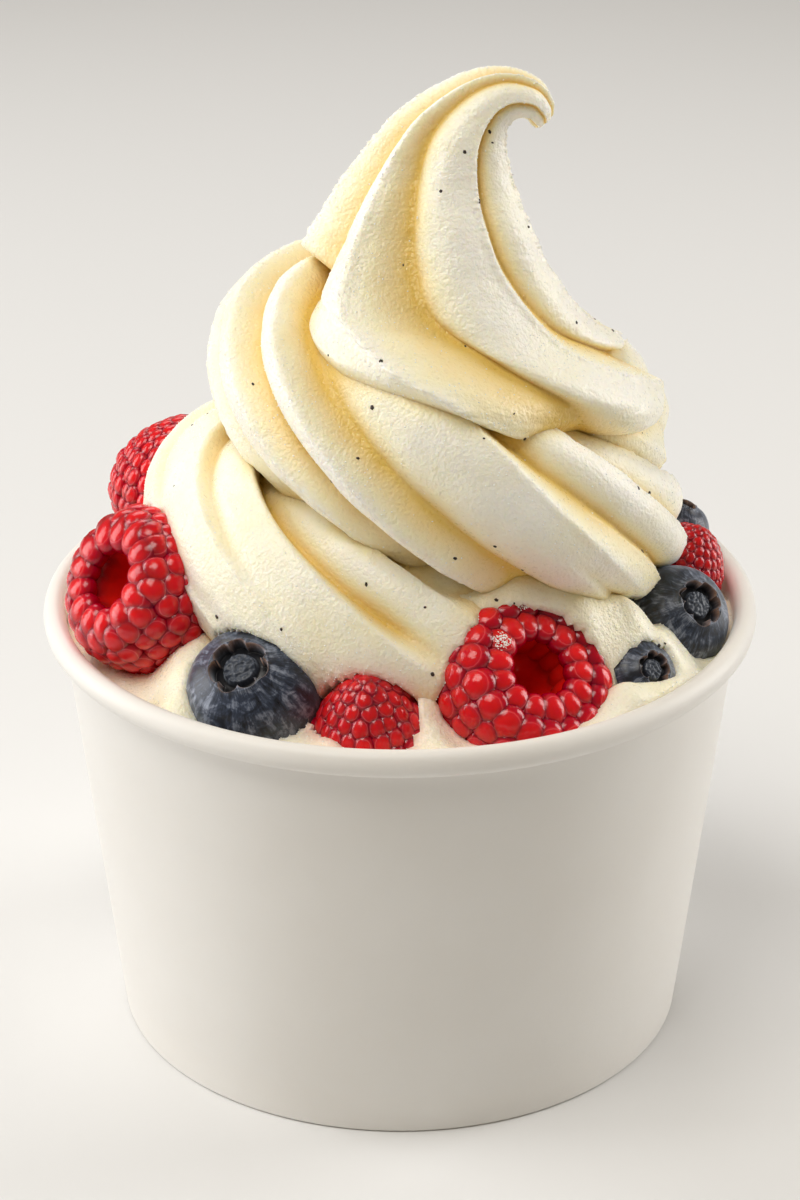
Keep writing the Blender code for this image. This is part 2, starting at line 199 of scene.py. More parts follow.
def add_node(tree, kind, values, **settings):
    """Add a node to a material, with its settings made and its sockets filled."""
    node = tree.nodes.new("ShaderNode" + kind)
    for setting, choice in settings.items():
        setattr(node, setting, choice)
    set_sockets(tree, node, values)
    return node


def noise_through(tree, scale, detail=2.0, roughness=0.5, distortion=0.0):
    """Noise that fills the space of a piece, so it runs on over edges."""
    values = {"Scale": scale, "Detail": detail, "Roughness": roughness, "Distortion": distortion}
    values["Vector"] = add_node(tree, "TexCoord", {}).outputs["Object"]
    return add_node(tree, "TexNoise", values).outputs["Fac"]


def tones(tree, amount, stops):
    """Colours read by an amount between stops of (position, colour)."""
    node = add_node(tree, "ValToRGB", {"Fac": amount})
    ends = node.color_ramp.elements
    for end, (position, colour) in ((ends[0], stops[0]), (ends[1], stops[-1])):
        end.position = position
        end.color = (*colour, 1.0)
    for position, colour in stops[1:-1]:
        ends.new(position).color = (*colour, 1.0)
    return node.outputs["Color"]


def spread(tree, amount, low, high, smooth, rough):
    """An amount that runs from low to high becomes a roughness from smooth to rough."""
    values = {"Value": amount, "From Min": low, "From Max": high, "To Min": smooth, "To Max": rough}
    return add_node(tree, "MapRange", values).outputs["Result"]


# Fine grain on a surface, as a mask and as relief
fine_grain = bpy.data.node_groups.new("fine_grain", "ShaderNodeTree")
for word in ("Scale", "Detail", "Raggedness", "Strength", "Distance"):
    fine_grain.interface.new_socket(word, in_out="INPUT", socket_type="NodeSocketFloat")
fine_grain.interface.new_socket("Grain", in_out="OUTPUT", socket_type="NodeSocketFloat")
fine_grain.interface.new_socket("Normal", in_out="OUTPUT", socket_type="NodeSocketVector")
given = fine_grain.nodes.new("NodeGroupInput").outputs
grain = noise_through(fine_grain, given["Scale"], given["Detail"], given["Raggedness"])
values = {"Height": grain, "Strength": given["Strength"], "Distance": given["Distance"]}
relief = add_node(fine_grain, "Bump", values).outputs["Normal"]
set_sockets(fine_grain, fine_grain.nodes.new("NodeGroupOutput"), {"Grain": grain, "Normal": relief})


def grained(tree, scale, detail, raggedness, strength, distance):
    """The mask and the normal of the fine grain with these values."""
    values = {"Scale": scale, "Detail": detail, "Raggedness": raggedness}
    values.update({"Strength": strength, "Distance": distance})
    return add_node(tree, "Group", values, node_tree=fine_grain).outputs


cup_board, tree, board = new_finish("cup_board")
pulp = grained(tree, 900.0, 5.0, 0.6, 0.10, 0.0002)
whites = ((0.3, (0.80, 0.775, 0.735)), (0.7, (0.83, 0.81, 0.775)))
set_sockets(tree, board, {
    "Base Color": tones(tree, noise_through(tree, 45.0, 3.0), whites),
    "Roughness": spread(tree, pulp["Grain"], 0.0, 1.0, 0.40, 0.54),
    "Normal": pulp["Normal"],
    "Subsurface Weight": 0.15,
    "Subsurface Radius": (1.0, 0.9, 0.8),
    "Subsurface Scale": 0.001,
})
cup.data.materials.append(cup_board)
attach(cup, "root")
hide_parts("cup_wall")
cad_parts["cup_base"].material_slots[0].material = cup_board


# ================================================================ frozen yogurt
# Vanilla frozen yogurt, drawn from the machine through a star nozzle. One ribbon is
# wound in narrowing turns, then pulled up into a bell whose tip curls over.

# turns wound, axis x, axis y, winding radius, height, half thickness
RIBBON = (
    (-0.50, -2.5, 0.0, 24.5, 58.5, 12.6),
    (0.00, 0.5, 0.0, 23.0, 66.0, 11.8),
    (0.50, 5.2, 0.4, 22.4, 79.0, 10.8),
    (0.86, 8.6, 0.0, 20.8, 84.8, 13.0),
    (1.00, 9.2, 0.0, 20.4, 87.2, 14.0),
    (1.14, 9.4, 0.0, 19.8, 89.2, 14.2),
    (1.40, 9.6, 0.0, 18.0, 89.0, 11.6),
    (1.60, 9.0, -0.8, 11.5, 90.5, 8.5),
    (1.80, 7.0, 0.0, 3.0, 94.0, 5.0),
)
LEAN_X = 0.36
LEAN_Y = 0.14
ROLL_TURNS = (-0.5, 0.0, 0.5, 1.0, 1.4, 1.8)
ROLL_ANGLES = (-28.0, 2.0, 39.0, 114.0, 175.0, 172.0)
LOBES = 8
GROOVE_DEPTH = 0.27
# centre x, y, z, radius, tilt towards +X, angles of the three grooves in front
BELL = (
    (13.5, -3.0, 91.2, 14.0, 20.0, -200.0, -44.0, 40.0),
    (12.9, -3.8, 94.0, 19.8, 20.0, -200.0, -46.0, 38.0),
    (12.2, -4.4, 96.8, 23.4, 20.0, -198.0, -50.0, 33.0),
    (11.3, -4.6, 99.7, 24.2, 19.5, -194.0, -56.0, 26.0),
    (9.4, -4.4, 102.6, 22.0, 18.0, -178.0, -78.0, 2.0),
    (6.3, -3.0, 106.0, 18.9, 16.5, -163.0, -99.0, -23.0),
    (5.1, -1.6, 111.7, 15.0, 14.5, -158.0, -107.0, -41.0),
    (5.3, -0.8, 116.8, 12.4, 14.5, -156.0, -112.0, -50.0),
    (5.7, 0.0, 121.0, 9.9, 15.0, -154.0, -117.0, -53.0),
    (7.0, 0.0, 125.6, 7.4, 21.0, -153.0, -122.0, -55.0),
    (10.2, 0.0, 129.0, 5.0, 40.0, -158.0, -130.0, -63.0),
    (13.6, 0.0, 130.2, 3.6, 72.0, -165.0, -140.0, -75.0),
    (16.6, 0.0, 129.5, 2.8, 105.0, -170.0, -145.0, -85.0),
    (18.0, 0.0, 127.8, 2.2, 128.0, -175.0, -150.0, -90.0),
    (18.3, 0.0, 126.7, 1.5, 140.0, -175.0, -150.0, -90.0),
)


def eased(x, stations, values):
    """Read a smooth curve through (station, value) pairs."""
    gaps = np.diff(stations)
    slopes = np.diff(values) / gaps
    tangents = np.empty(len(values))
    tangents[1:-1] = (slopes[:-1] * gaps[1:] + slopes[1:] * gaps[:-1]) / (gaps[:-1] + gaps[1:])
    tangents[0], tangents[-1] = slopes[0], slopes[-1]
    i = min(max(int(np.searchsorted(stations, x, side="right")) - 1, 0), len(gaps) - 1)
    t = (x - stations[i]) / gaps[i]
    return (
        (2 * t**3 - 3 * t**2 + 1) * values[i]
        + (t**3 - 2 * t**2 + t) * gaps[i] * tangents[i]
        + (3 * t**2 - 2 * t**3) * values[i + 1]
        + (t**3 - t**2) * gaps[i] * tangents[i + 1]
    )


def ribbon_path(turn):
    """Centre of the ribbon and its half thickness after this many turns."""
    stations = [row[0] for row in RIBBON]
    axis_x, axis_y, winding, height, thickness = (
        eased(turn, stations, [row[column] for row in RIBBON]) for column in range(1, 6)
    )
    across = winding * cos(pi - tau * turn)
    along = winding * sin(pi - tau * turn)
    return Vector((axis_x + across, axis_y + along, height - LEAN_X * across - LEAN_Y * along)), thickness


def lobe(s, crest, depth, next_depth, lip):
    """Height across one lobe from groove (s = 0) to groove (s = 1).

    A full nose rises out of the first groove, a broad face runs to the crest, and a
    hollow flank falls into the next groove. Returns (height, crest mask, hollow mask).
    """
    if s < crest:
        u = 1.0 - s / crest
        rise = 1.0 - depth * u**2.6 - 0.06 * depth * (1.0 - u) * u
        hollow = u**6
    else:
        u = (s - crest) / (1.0 - crest)
        rise = 1.0 - next_depth * (0.5 - 0.5 * cos(pi * u**0.85)) ** 0.9
        hollow = min(1.0, u * 1.15)
    ridge = exp(-(((s - crest) / 0.035) ** 2))
    return rise + lip * ridge, ridge, hollow


def sweep(name, rings, masks):
    """Skin closed rings into a capped tube, keeping the crest and hollow masks on it."""
    count = len(rings[0])
    shape = bmesh.new()
    crest_layer = shape.verts.layers.float.new("crest")
    # The hollow mask is where shade is painted into the grooves of the cream
    hollow_layer = shape.verts.layers.float.new("hollow")
    loops = []
    for ring, mask in zip(rings, masks):
        loop = []
        for point, (crest, hollow) in zip(ring, mask):
            vert = shape.verts.new(point * MM)
            vert[crest_layer] = crest
            vert[hollow_layer] = hollow
            loop.append(vert)
        loops.append(loop)
    for lower, upper in zip(loops, loops[1:]):
        for k in range(count):
            after = (k + 1) % count
            shape.faces.new((lower[k], upper[k], upper[after], lower[after])).smooth = True
    for loop in (loops[0], loops[-1]):
        middle = shape.verts.new(sum((vert.co for vert in loop), Vector()) / count)
        middle[hollow_layer] = 0.5
        for k in range(count):
            shape.faces.new((loop[k], loop[(k + 1) % count], middle))
    bmesh.ops.recalc_face_normals(shape, faces=shape.faces)
    mesh = bpy.data.meshes.new(name)
    shape.to_mesh(mesh)
    shape.free()
    piece = bpy.data.objects.new(name, mesh)
    scene.collection.objects.link(piece)
    return piece


# Raspberries pressed into the yogurt: centre x, y, z, radius, length, where the open
# end points, turn about that axis, how closely the drupelets stand, how wide the
# mouth is and how far it narrows to its tip
RASPBERRIES = (
    (-32.0, -13.6, 67.0, 10.8, 21.0, (-0.70, -0.50, 0.51), 10.0, 0.98, 1.06, 0.2),
    (-30.5, 16.5, 70.0, 9.2, 19.0, (-0.35, -0.10, -0.93), 0.0, 1.3, 1.0, 0.2),
    (-3.7, -34.4, 56.2, 8.5, 20.5, (0.07, 0.22, -0.97), 0.0, 1.0, 1.0, 0.55),
    (14.7, -28.0, 60.2, 12.1, 19.5, (0.40, -0.56, 0.72), 14.0, 1.06, 0.88, 0.2),
    (38.0, 3.9, 62.4, 6.4, 13.5, (-0.45, 0.10, -0.88), 0.0, 1.15, 1.0, 0.2),
    (17.6, 29.2, 62.0, 9.5, 18.0, (0.05, 0.20, 0.97), 0.0, 1.0, 1.0, 0.2),
    (-13.6, 31.6, 61.4, 8.9, 17.5, (0.10, -0.35, -0.93), 0.0, 1.1, 1.0, 0.2),
)
# Blueberries: centre x, y, z, radius, where the crown points, turn of the crown
BLUEBERRIES = (
    (-18.5, -30.2, 60.9, 8.7, (-0.25, -0.53, 0.81), 20.0),
    (36.5, -8.8, 60.9, 7.3, (0.50, -0.54, 0.67), 45.0),
    (30.4, -24.0, 59.8, 5.3, (0.50, -0.58, 0.64), 0.0),
    (38.4, 14.9, 63.4, 4.5, (0.20, 0.05, 0.98), 0.0),
    (2.6, 37.0, 60.3, 6.9, (-0.30, 0.50, 0.81), 0.0),
)
# The space that each berry takes: centre, half width, half length and axis. An open
# end is blunt and a tip is not, so a raspberry lying open end up needs more room
HELD = []
for row in RASPBERRIES:
    open_end_up = row[5][2] > 0.0
    wide_share, tall_share = (1.0, 0.56) if open_end_up else (0.93, 0.47)
    HELD.append((row[:3], row[3] * wide_share, row[4] * tall_share, row[5]))
HELD += [(row[:3], row[3] * 0.98, row[3] * 0.94, row[4]) for row in BLUEBERRIES]


def kept_clear(point):
    """Yogurt that a berry pushes aside moves in towards the swirl and down."""
    for centre, wide, tall, axis in HELD:
        offset = point - Vector(centre)
        if offset.length > max(wide, tall):
            continue
        axis = Vector(axis).normalized()
        push = Vector((-centre[0] * 0.6, -centre[1] * 0.6, -14.0)).normalized()
        squeezed = offset - axis * offset.dot(axis)
        a = squeezed / wide + axis * offset.dot(axis) / tall
        b = (push - axis * push.dot(axis)) / wide + axis * push.dot(axis) / tall
        room = a.dot(b) ** 2 - b.dot(b) * (a.dot(a) - 1.0)
        if a.dot(a) < 1.0 and room > 0.0:
            point = point + push * ((-a.dot(b) + sqrt(room)) / b.dot(b))
    return point


def unevenness(point, turn, angle, crest):
    """Slow swells and fine drag lines that the nozzle leaves along the ribbon."""
    slow = noise.noise(point * 0.09) * 0.30
    middling = noise.noise(point * 0.28 + Vector((7.0, 0.0, 0.0))) * 0.13
    drag = noise.noise(Vector((cos(angle) * 6.0, sin(angle) * 6.0, turn * 3.0))) * 0.12
    fine = noise.noise(point * 0.9) * 0.05 + noise.noise(point * 2.6) * 0.045
    ragged = crest * noise.noise(point * 2.6) * 0.30
    return slow + middling + drag + fine + ragged


# Which share of each lobe lies before its crest
RIBBON_CREST = (0.62, 0.6, 0.6, 0.45, 0.9, 0.85, 0.7, 0.7)
# How deep each groove is on the first turn and on the later ones
FIRST_TURN_GROOVES = (1.0, 1.0, 1.0, 1.0, 0.2, 0.3, 0.75, 1.3)
LATER_GROOVES = (1.1, 1.0, 0.4, 1.0, 1.0, 1.0, 1.0, 1.0)
FADING_GROOVES = (4, 5, 6)
# Two lobes run together into one broad face on the middle turn
FLAT_GROOVE = 5
FLAT_FROM = 0.42
FLAT_TO = 1.3


def ramped(turn, start, length):
    """0 before the start, 1 from a length after it, and straight between."""
    return min(1.0, max(0.0, (turn - start) / length))


def ribbon_section(angle, turn):
    """Height, crest mask and hollow mask of the ribbon's skin at an angle round it."""
    pitch = tau / LOBES
    number = int((angle % tau) // pitch)
    s = (angle % tau) / pitch - number
    merge = 0.0
    if FLAT_FROM < turn < FLAT_TO:
        merge = 0.5 - 0.5 * cos(tau * min(1.0, (turn - FLAT_FROM) / (FLAT_TO - FLAT_FROM)))
        merge = min(1.0, merge * 1.6)
    risen = ramped(turn, -0.30, 0.08)
    risen *= risen * (3.0 - 2.0 * risen)
    first = min(1.0, max(0.0, (0.35 - turn) / 0.15))
    depths = []
    for groove in (number, (number + 1) % LOBES):
        share = FIRST_TURN_GROOVES[groove] * first + LATER_GROOVES[groove] * (1.0 - first)
        if groove in FADING_GROOVES:
            share *= ramped(turn, -0.18, 0.13)
        share *= 1.0 - 0.6 * ramped(turn, 1.0, 0.12)
        depths.append(GROOVE_DEPTH * share * risen)
    height, crest, hollow = lobe(s, RIBBON_CREST[number], depths[0], depths[1], 0.012 * risen)
    groove_share = min(1.0, (depths[0] if s < RIBBON_CREST[number] else depths[1]) / GROOVE_DEPTH)
    plain = (height, crest * risen, 0.10 + (hollow - 0.10) * risen * groove_share**1.5)
    if number in (FLAT_GROOVE - 1, FLAT_GROOVE):
        along = (s + (1.0 if number == FLAT_GROOVE else 0.0)) / 2.0
        wide = lobe(along, 0.70, GROOVE_DEPTH, GROOVE_DEPTH, 0.018)
        return tuple(a + (b - a) * merge for a, b in zip(plain, wide))
    return plain


def ribbon_piece(name, first, last, rings_count, segments):
    turns = np.linspace(first, last, rings_count)
    rings, masks = [], []
    for turn in turns:
        centre, thickness = ribbon_path(turn)
        step = 0.004
        ahead, behind = ribbon_path(turn + step)[0], ribbon_path(turn - step)[0]
        carried = Vector((0, 0, 1)).rotation_difference(ahead - behind)
        roll = radians(eased(turn, ROLL_TURNS, ROLL_ANGLES))
        ring, mask = [], []
        for k in range(segments):
            angle = tau * k / segments
            height, crest, hollow = ribbon_section(angle, turn)
            outward = carried @ Vector((cos(angle + roll), sin(angle + roll), 0.0))
            point = centre + outward * thickness * height
            ring.append(kept_clear(point + outward * unevenness(point, turn, angle, crest)))
            mask.append((crest, hollow))
        rings.append(ring)
        masks.append(mask)
    return sweep(name, rings, masks)


BELL_LOBES = 6
BELL_DEPTH = 0.25
BELL_CRESTS = (0.42, 0.8, 0.5, 0.6, 0.6, 0.6)
FULL_BASE = 4.5
# The last turn has sagged where it leaves the one below, at the left in front
SAG_ANGLE = radians(-150.0)
SAG_DROP = 4.5
SAG_BULGE = 0.13
SAG_WIDTH = 0.60


def bell_piece(name, rings_count, segments):
    levels = list(range(len(BELL)))
    rings, masks = [], []
    for level in np.linspace(0, levels[-1], rings_count):
        row = [eased(level, levels, [entry[column] for entry in BELL]) for column in range(8)]
        x, y, z, radius, tilt = row[:5]
        first, second, third = (radians(angle) for angle in row[5:])
        step = (first + tau - third) / (BELL_LOBES - 2)
        grooves = [first, second] + [third + step * k for k in range(BELL_LOBES - 1)]
        across = Vector((cos(radians(tilt)), 0.0, -sin(radians(tilt))))
        ring, mask = [], []
        for k in range(segments):
            angle = (tau * k / segments - first) % tau + first
            number = max(i for i in range(BELL_LOBES) if grooves[i] <= angle + 1e-9)
            s = (angle - grooves[number]) / (grooves[number + 1] - grooves[number])
            share = BELL_CRESTS[number]
            if number == 0:
                share += 0.4 * max(0.0, 1.0 - level / FULL_BASE) ** 0.7
            height, crest, hollow = lobe(s, share, BELL_DEPTH, BELL_DEPTH, 0.032)
            outward = across * cos(angle) + Vector((0.0, 1.0, 0.0)) * sin(angle)
            beside = (angle - SAG_ANGLE + pi) % tau - pi
            sag = min(1.0, max(0.0, (6.2 - level) / 3.0)) ** 1.5 * exp(-((beside / SAG_WIDTH) ** 2))
            point = Vector((x, y, z - SAG_DROP * sag)) + outward * radius * (height + SAG_BULGE * sag)
            uneven = unevenness(point, level, angle, crest) * min(1.0, radius / 9.0)
            ring.append(point + outward * uneven)
            mask.append((crest, hollow))
        rings.append(ring)
        masks.append(mask)
    return sweep(name, rings, masks)


detail = 1.0
swirl = [
    ribbon_piece("swirl_ribbon", -0.5, 1.8, int(540 * detail), int(182 * detail)),
    bell_piece("swirl_bell", int(420 * detail), int(224 * detail)),
]

# The levelled yogurt under the swirl, pushed up in banks beside the berries
FILL_EDGE_Z = 57.9
FILL_SHOULDER_Z = 60.2
FILL_TOP_Z = 62.0
FILL_LIMIT_Z = 76.0
FILL_BOTTOM_Z = FOLD_HEIGHT + 1.2
FILL_RINGS = 110
FILL_SEGMENTS = 300
# Crest lines of the banks, as points x, y, z, and how wide each bank spreads
BANKS = (
    (((4.0, -27.5, 70.2), (2.8, -31.5, 67.0), (2.4, -36.0, 63.2), (5.0, -41.5, 59.3)), 1.6),
    (
        (
            (3.5, -29.0, 70.3),
            (8.0, -25.9, 73.7),
            (14.5, -24.0, 75.0),
            (21.5, -22.5, 74.0),
            (28.0, -20.6, 70.2),
            (32.4, -21.0, 65.6),
            (38.5, -21.5, 60.2),
        ),
        2.6,
    ),
    (((-10.0, -31.0, 63.0), (-7.5, -39.0, 60.4)), 2.4),
    (((-26.0, -22.0, 66.0), (-26.5, -29.0, 62.8), (-28.5, -35.0, 60.8)), 3.0),
    (((33.5, -15.5, 64.0), (37.0, -22.0, 61.0)), 2.0),
    (((23.0, -36.5, 60.6), (28.5, -31.3, 62.9), (35.0, -27.0, 61.8), (39.5, -22.0, 60.4)), 2.2),
)
# How softly a bank runs out into the level yogurt
BANK_BLEND = 1.1


def bank_height(x, y):
    """Highest of the banks at a place, each a rounded ridge along its crest line."""
    best = -1e9
    for crest, width in BANKS:
        for (ax, ay, az), (bx, by, bz) in zip(crest, crest[1:]):
            length = (bx - ax) ** 2 + (by - ay) ** 2
            t = min(1.0, max(0.0, ((x - ax) * (bx - ax) + (y - ay) * (by - ay)) / length))
            gap = hypot(x - ax - t * (bx - ax), y - ay - t * (by - ay))
            best = max(best, az + t * (bz - az) - gap * gap / (2.0 * width))
    return best


def fill_height(x, y):
    stations = (0.0, 27.0, 36.0, 45.6)
    level = eased(hypot(x, y), stations, (FILL_TOP_Z, FILL_TOP_Z, FILL_SHOULDER_Z, FILL_EDGE_Z))
    bank = bank_height(x, y)
    top = max(level, bank)
    rise = top + BANK_BLEND * np.log(exp((level - top) / BANK_BLEND) + exp((bank - top) / BANK_BLEND))
    lumps = noise.noise(Vector((x, y, 0.0)) * 0.16) * 0.9 + noise.noise(Vector((x, y, 5.0)) * 0.45) * 0.28
    return rise + lumps + noise.noise(Vector((x, y, 9.0)) * 1.4) * 0.07 - 0.6


def round_ring(r, height_at):
    """A ring of points about the cup's axis, at the height found for each."""
    ring = []
    for k in range(FILL_SEGMENTS):
        angle = tau * k / FILL_SEGMENTS
        x, y = r * cos(angle), r * sin(angle)
        ring.append(Vector((x, y, height_at(x, y))))
    return ring


fill_edge = wall_radius(FILL_EDGE_Z) - WALL - 0.02
fill_middle = fill_height(0.0, 0.0)
fill_rings = [round_ring(0.02, lambda x, y: fill_middle)]
for j in range(1, FILL_RINGS + 1):
    ring = round_ring(fill_edge * j / FILL_RINGS, lambda x, y: min(fill_height(x, y), FILL_LIMIT_Z))
    fill_rings.append([kept_clear(point) for point in ring])
for z in (50.0, 30.0, FILL_BOTTOM_Z):
    fill_rings.append(round_ring(wall_radius(z) - WALL - 0.05, lambda x, y: z))
fill_masks = [[(0.0, 0.15)] * FILL_SEGMENTS for ring in fill_rings]
fill = sweep("yogurt_fill", fill_rings, fill_masks)
swirl.append(fill)

# How far raspberry juice has bled into the yogurt
JUICE_REACH = 0.8


def add_juice(piece):
    """Mark how near each point lies to the nearest raspberry."""
    count = len(piece.data.vertices)
    points = np.empty(count * 3)
    piece.data.vertices.foreach_get("co", points)
    points = points.reshape(count, 3) / MM
    amount = np.zeros(count)
    for row in RASPBERRIES:
        axis = np.array(Vector(row[5]).normalized())
        offset = points - np.array(row[:3])
        along = offset @ axis
        across = np.sqrt(np.maximum((offset**2).sum(axis=1) - along**2, 0.0))
        gap = (np.hypot(across / row[3], along / (row[4] * 0.5)) - 1.0) * row[3]
        amount = np.maximum(amount, np.exp(-np.maximum(gap, 0.0) / JUICE_REACH))
    juice_layer = piece.data.attributes.new("juice", "FLOAT", "POINT")
    juice_layer.data.foreach_set("value", amount.astype(np.float32))


# How far painted shade reaches out of a crease between two turns. The ribbon is
# marked a window at a time, against what is wound at least some turns away from it
CREASE_SHADE_REACH = 0.9
TURNS_APART = 0.4
WINDOW = 0.46
ribbon = swirl[0]
FIRST_TURN, LAST_TURN = RIBBON[0][0], RIBBON[-1][0]
# The caps at the ribbon's two ends are its only triangles
ribbon_sides = [face.vertices[:] for face in ribbon.data.polygons if len(face.vertices) == 4]
TURNS_A_SIDE = (LAST_TURN - FIRST_TURN) / len(ribbon_sides)


def skin_beside(piece, near):
    """The other pieces of the yogurt, and the ribbon less what is wound near the piece."""
    corners, faces = [], []
    for other in swirl:
        base = len(corners)
        if other is ribbon:
            turns = [FIRST_TURN + TURNS_A_SIDE * index for index in range(len(ribbon_sides))]
            sides = [side for side, turn in zip(ribbon_sides, turns) if not near[0] <= turn <= near[1]]
        elif other is piece:
            continue
        else:
            sides = [face.vertices[:] for face in other.data.polygons]
        corners += [vert.co for vert in other.data.vertices]
        faces += [[base + corner for corner in side] for side in sides]
    return BVHTree.FromPolygons(corners, faces)


def add_crease_shade(piece, most):
    """Mark how near each point lies to another turn of the yogurt, for the shade painted in the creases."""
    verts = piece.data.vertices
    starts = [None]
    if piece is ribbon:
        starts = [FIRST_TURN + WINDOW * k for k in range(round((LAST_TURN - FIRST_TURN) / WINDOW))]
    amount = []
    for k, start in enumerate(starts):
        near = (0.0, -1.0) if start is None else (start - TURNS_APART, start + WINDOW + TURNS_APART)
        others = skin_beside(piece, near)
        for vert in verts[len(verts) * k // len(starts) : len(verts) * (k + 1) // len(starts)]:
            gap = others.find_nearest(vert.co, 3.0 * CREASE_SHADE_REACH * MM)[3]
            amount.append(0.0 if gap is None else most * exp(-gap / (CREASE_SHADE_REACH * MM)))
    crease_shade_layer = piece.data.attributes.new("crease_shade", "FLOAT", "POINT")
    crease_shade_layer.data.foreach_set("value", amount)


for piece in swirl:
    add_juice(piece)
    add_crease_shade(piece, 0.25 if piece is fill else 1.0)


def mask_on(tree, word):
    """A mask that the piece's mesh carries."""
    return add_node(tree, "Attribute", {}, attribute_name=word).outputs["Fac"]


def worked_out(tree, operation, *amounts, clamp=False):
    """A sum, product or difference of outputs and plain numbers."""
    values = dict(enumerate(amounts))
    return add_node(tree, "Math", values, operation=operation, use_clamp=clamp).outputs["Value"]


def laid_over(tree, mask, colour, below):
    """A colour laid over another where the mask is full."""
    values = {"Factor": mask, 6: below, 7: (*colour, 1.0)}
    return add_node(tree, "Mix", values, data_type="RGBA").outputs[2]


# Painted shade: the cream turns deeper and more golden on the flanks falling into the grooves
# and in the creases between turns; it also varies in slow patches
yogurt, tree, cream = new_finish("vanilla_yogurt_frozen")
blush = noise_through(tree, 120.0, 3.0)
patch = worked_out(tree, "MULTIPLY_ADD", blush, 0.45, -0.19)
# Shade painted into the creases between turns and onto the flanks falling into the grooves
painted_shade = worked_out(tree, "MULTIPLY_ADD", mask_on(tree, "crease_shade"), 0.6, mask_on(tree, "hollow"))
depth = worked_out(tree, "ADD", painted_shade, patch, clamp=True)
# The cream's own colour at 0, turning to painted golden shade towards 1
cream_and_painted_shade = ((0.0, (0.98, 0.935, 0.835)), (0.32, (0.965, 0.87, 0.61)), (1.0, (0.80, 0.56, 0.14)))
bled = worked_out(tree, "MULTIPLY", mask_on(tree, "juice"), blush)
ice = grained(tree, 1900.0, 1.6, 0.62, 0.75, 0.00030)
set_sockets(tree, cream, {
    "Base Color": laid_over(tree, bled, (0.90, 0.45, 0.42), tones(tree, depth, cream_and_painted_shade)),
    "Roughness": spread(tree, ice["Grain"], 0.3, 0.7, 0.24, 0.50),
    "Normal": ice["Normal"],
    "Subsurface Weight": 0.5,
    "Subsurface Radius": (1.0, 0.85, 0.55),
    "Subsurface Scale": 0.0013,
})
for piece in swirl:
    piece.data.materials.append(yogurt)
    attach(piece, "root")
    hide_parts("yogurt")


# ================================================================ raspberries
# Fresh raspberries, picked off their cores, so each is a hollow thimble of juicy
# drupelets round an open end. They are pressed into the yogurt while it is soft.

# Rows of drupelets from inside the open end, over its lip, down to the tip. Each has
# its distance from the axis and height (shares of radius and length), the way it
# faces from level, its length along the row's slope, and how many go round
DRUPELET_ROWS = (
    (0.45, 0.16, 180.0, 2.0, 14),
    (0.58, 0.385, 78.0, 1.2, 13),
    (0.79, 0.34, 42.0, 1.0, 17),
    (0.92, 0.235, 18.0, 0.95, 22),
    (0.965, 0.12, 6.0, 0.95, 25),
    (0.96, 0.0, -3.0, 0.95, 25),
    (0.91, -0.11, -12.0, 0.95, 24),
    (0.82, -0.21, -24.0, 0.95, 22),
    (0.70, -0.30, -36.0, 0.95, 18),
    (0.54, -0.375, -48.0, 0.95, 14),
    (0.36, -0.435, -60.0, 0.95, 9),
    (0.17, -0.475, -76.0, 0.95, 5),
    (0.0, -0.485, -90.0, 1.0, 1),
)
# Outline of the flesh behind them, from the tip up over the lip and down the hollow,
# as shares of radius and length
FLESH_OUTLINE = (
    (0.02, -0.44),
    (0.34, -0.40),
    (0.60, -0.30),
    (0.78, -0.14),
    (0.86, 0.04),
    (0.82, 0.22),
    (0.64, 0.36),
    (0.46, 0.34),
    (0.41, 0.20),
    (0.35, 0.04),
    (0.25, -0.10),
    (0.02, -0.16),
)
FLESH_STEPS = 32
HOLLOW_RINGS = 4
# Shares of a bead's room: how far beads overlap, how far each stands out and is sunk
BEAD_OVERLAP = 1.46
BEAD_DEPTH = 0.80
BEAD_SUNK = 0.58
# The least half length of a bead, as a share of the raspberry's length
BEAD_LEAST = 0.088
TIP_BEAD = 0.16
chance = np.random.default_rng(11)


def add_drupelet(shape, layers, centre, outward, around, half, tint, inside, fineness):
    """One bead: a ball drawn out to its half sizes, sunk in its neighbours."""
    slope = outward.cross(around)
    bead_axes = Matrix((around, slope, outward)).transposed()
    ball = bmesh.ops.create_icosphere(shape, subdivisions=fineness, radius=1.0)
    swell = 1.0 + 0.05 * (chance.random() - 0.5)
    for vert in ball["verts"]:
        local = vert.co.copy()
        # rise: how far up the bead a point lies, which the flesh turns into painted seam shade and a painted
        # highlight
        vert[layers[0]] = local.z
        vert[layers[1]] = tint
        vert[layers[2]] = inside
        dimple = 0.03 * noise.noise(local * 1.7 + centre)
        local *= swell + dimple
        drawn_out = Vector((local.x * half[0], local.y * half[1], local.z * half[2]))
        vert.co = (centre + bead_axes @ drawn_out) * MM


